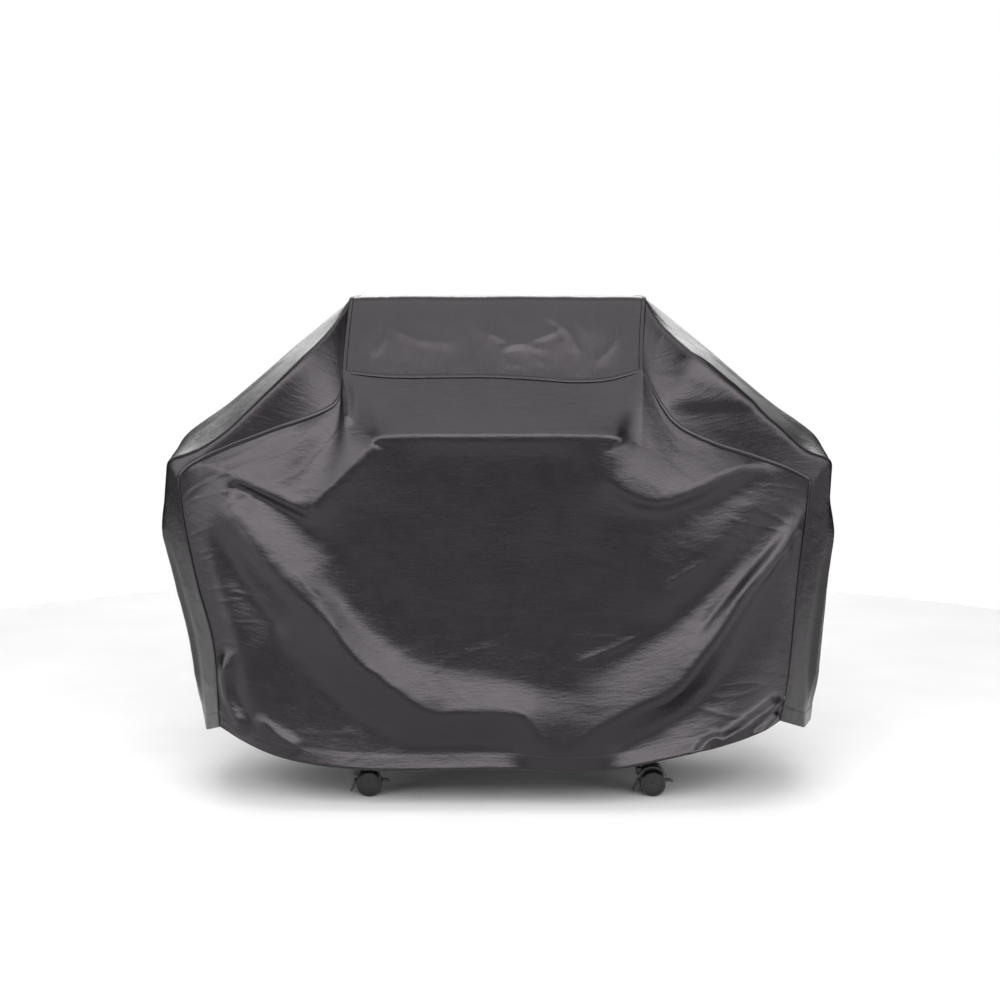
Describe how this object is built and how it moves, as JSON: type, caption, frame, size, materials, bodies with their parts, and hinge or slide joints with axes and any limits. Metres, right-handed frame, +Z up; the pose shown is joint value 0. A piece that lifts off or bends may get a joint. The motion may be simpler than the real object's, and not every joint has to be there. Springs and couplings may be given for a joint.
{
  "type": "grill cover",
  "caption": "Fitted fabric cover draped over a wheeled gas grill with side shelves; it lifts off, and the grill rolls on braked twin-wheel casters.",
  "frame": {"origin": "on the floor, under the middle of the cover", "axes": "+X to the right of someone facing the grill, -Y towards that person, +Z up"},
  "size_m": [1.59, 0.644, 1.167],
  "materials": {
    "cover_fabric": "satin coated polyester",
    "cart_steel": "satin powder coat",
    "leg_plug_plastic": "moulded",
    "zinc_steel": "zinc plated",
    "firebox_enamel": "heat-proof paint",
    "lid_enamel": "porcelain enamel",
    "grate_iron": "seasoned",
    "burner_steel": "stainless, heat tinted",
    "handle_steel": "brushed",
    "gauge_steel": "turned",
    "panel_steel": "brushed",
    "valve_brass": "machined",
    "knob_plastic": "moulded",
    "shelf_enamel": "satin powder coat",
    "hood_plastic": "moulded nylon",
    "wheel_plastic": "moulded nylon",
    "brake_plastic": "moulded nylon"
  },
  "bodies": {
    "grill": {"burner_tubes": "burner_steel", "cart_bottom_shelf": "cart_steel", "cart_leg_front_left": "cart_steel", "cart_leg_front_right": "cart_steel", "cart_leg_plugs": "leg_plug_plastic", "cart_leg_rear_left": "cart_steel", "cart_leg_rear_right": "cart_steel", "cart_lower_rails": "cart_steel", "cart_rail_bolts": "zinc_steel", "cart_upper_rails": "cart_steel", "caster_stems": "zinc_steel", "control_panel": "panel_steel", "cooking_grate_left": "grate_iron", "cooking_grate_right": "grate_iron", "firebox": "firebox_enamel", "flame_baffles": "burner_steel", "gas_manifold": "valve_brass", "gas_valves": "valve_brass", "grease_tray": "burner_steel", "grill_lid": "lid_enamel", "lid_handle": "handle_steel", "lid_handle_posts": "handle_steel", "lid_hinge_brackets": "zinc_steel", "lid_hinge_pins": "zinc_steel", "shelf_brackets_left": "cart_steel", "shelf_brackets_right": "cart_steel", "side_shelf_left": "shelf_enamel", "side_shelf_right": "shelf_enamel", "temperature_gauge": "gauge_steel"},
    "cover": {"cover_back_panel": "cover_fabric", "cover_front_panel": "cover_fabric", "cover_left_side_panel": "cover_fabric", "cover_right_side_panel": "cover_fabric", "cover_top_panel": "cover_fabric"},
    "knob_1": {"burner_knob_1": "knob_plastic"},
    "knob_2": {"burner_knob_2": "knob_plastic"},
    "knob_3": {"burner_knob_3": "knob_plastic"},
    "knob_4": {"burner_knob_4": "knob_plastic"},
    "caster_front_left": {"caster_front_left_hood": "hood_plastic", "caster_front_left_axle": "zinc_steel"},
    "caster_front_left_outer": {"caster_front_left_wheel_outer": "wheel_plastic"},
    "caster_front_left_inner": {"caster_front_left_wheel_inner": "wheel_plastic"},
    "caster_front_left_brake": {"caster_front_left_brake": "brake_plastic"},
    "caster_front_right": {"caster_front_right_hood": "hood_plastic", "caster_front_right_axle": "zinc_steel"},
    "caster_front_right_outer": {"caster_front_right_wheel_outer": "wheel_plastic"},
    "caster_front_right_inner": {"caster_front_right_wheel_inner": "wheel_plastic"},
    "caster_front_right_brake": {"caster_front_right_brake": "brake_plastic"},
    "caster_rear_left": {"caster_rear_left_hood": "hood_plastic", "caster_rear_left_axle": "zinc_steel"},
    "caster_rear_left_outer": {"caster_rear_left_wheel_outer": "wheel_plastic"},
    "caster_rear_left_inner": {"caster_rear_left_wheel_inner": "wheel_plastic"},
    "caster_rear_right": {"caster_rear_right_hood": "hood_plastic", "caster_rear_right_axle": "zinc_steel"},
    "caster_rear_right_outer": {"caster_rear_right_wheel_outer": "wheel_plastic"},
    "caster_rear_right_inner": {"caster_rear_right_wheel_inner": "wheel_plastic"}
  },
  "joints": [
    {"name": "cover_lift", "type": "slide", "parent": "grill", "child": "cover", "axis": [0, 0, 1], "range_m": [0, 1.25]},
    {"name": "knob_1_turn", "type": "hinge", "parent": "grill", "child": "knob_1", "pos_m": [-0.21, -0.265, 0.77], "axis": [0, -1, 0], "range_deg": [0, 225]},
    {"name": "knob_2_turn", "type": "hinge", "parent": "grill", "child": "knob_2", "pos_m": [-0.07, -0.265, 0.77], "axis": [0, -1, 0], "range_deg": [0, 225]},
    {"name": "knob_3_turn", "type": "hinge", "parent": "grill", "child": "knob_3", "pos_m": [0.07, -0.265, 0.77], "axis": [0, -1, 0], "range_deg": [0, 225]},
    {"name": "knob_4_turn", "type": "hinge", "parent": "grill", "child": "knob_4", "pos_m": [0.21, -0.265, 0.77], "axis": [0, -1, 0], "range_deg": [0, 225]},
    {"name": "caster_front_left_swivel", "type": "hinge", "parent": "grill", "child": "caster_front_left", "pos_m": [-0.334, -0.18, 0.06], "axis": [0, 0, 1], "continuous": true},
    {"name": "caster_front_left_outer_roll", "type": "hinge", "parent": "caster_front_left", "child": "caster_front_left_outer", "pos_m": [-0.308, -0.18, 0.03], "axis": [0, 1, 0], "continuous": true},
    {"name": "caster_front_left_inner_roll", "type": "hinge", "parent": "caster_front_left", "child": "caster_front_left_inner", "pos_m": [-0.308, -0.18, 0.03], "axis": [0, 1, 0], "continuous": true},
    {"name": "caster_front_left_brake_rock", "type": "hinge", "parent": "caster_front_left", "child": "caster_front_left_brake", "pos_m": [-0.308, -0.18, 0.03], "axis": [0, 1, 0], "range_deg": [0, 14]},
    {"name": "caster_front_right_swivel", "type": "hinge", "parent": "grill", "child": "caster_front_right", "pos_m": [0.334, -0.18, 0.06], "axis": [0, 0, 1], "continuous": true},
    {"name": "caster_front_right_outer_roll", "type": "hinge", "parent": "caster_front_right", "child": "caster_front_right_outer", "pos_m": [0.36, -0.18, 0.03], "axis": [0, 1, 0], "continuous": true},
    {"name": "caster_front_right_inner_roll", "type": "hinge", "parent": "caster_front_right", "child": "caster_front_right_inner", "pos_m": [0.36, -0.18, 0.03], "axis": [0, 1, 0], "continuous": true},
    {"name": "caster_front_right_brake_rock", "type": "hinge", "parent": "caster_front_right", "child": "caster_front_right_brake", "pos_m": [0.36, -0.18, 0.03], "axis": [0, 1, 0], "range_deg": [0, 14]},
    {"name": "caster_rear_left_swivel", "type": "hinge", "parent": "grill", "child": "caster_rear_left", "pos_m": [-0.334, 0.18, 0.06], "axis": [0, 0, 1], "continuous": true},
    {"name": "caster_rear_left_outer_roll", "type": "hinge", "parent": "caster_rear_left", "child": "caster_rear_left_outer", "pos_m": [-0.308, 0.18, 0.03], "axis": [0, 1, 0], "continuous": true},
    {"name": "caster_rear_left_inner_roll", "type": "hinge", "parent": "caster_rear_left", "child": "caster_rear_left_inner", "pos_m": [-0.308, 0.18, 0.03], "axis": [0, 1, 0], "continuous": true},
    {"name": "caster_rear_right_swivel", "type": "hinge", "parent": "grill", "child": "caster_rear_right", "pos_m": [0.334, 0.18, 0.06], "axis": [0, 0, 1], "continuous": true},
    {"name": "caster_rear_right_outer_roll", "type": "hinge", "parent": "caster_rear_right", "child": "caster_rear_right_outer", "pos_m": [0.36, 0.18, 0.03], "axis": [0, 1, 0], "continuous": true},
    {"name": "caster_rear_right_inner_roll", "type": "hinge", "parent": "caster_rear_right", "child": "caster_rear_right_inner", "pos_m": [0.36, 0.18, 0.03], "axis": [0, 1, 0], "continuous": true}
  ]
}
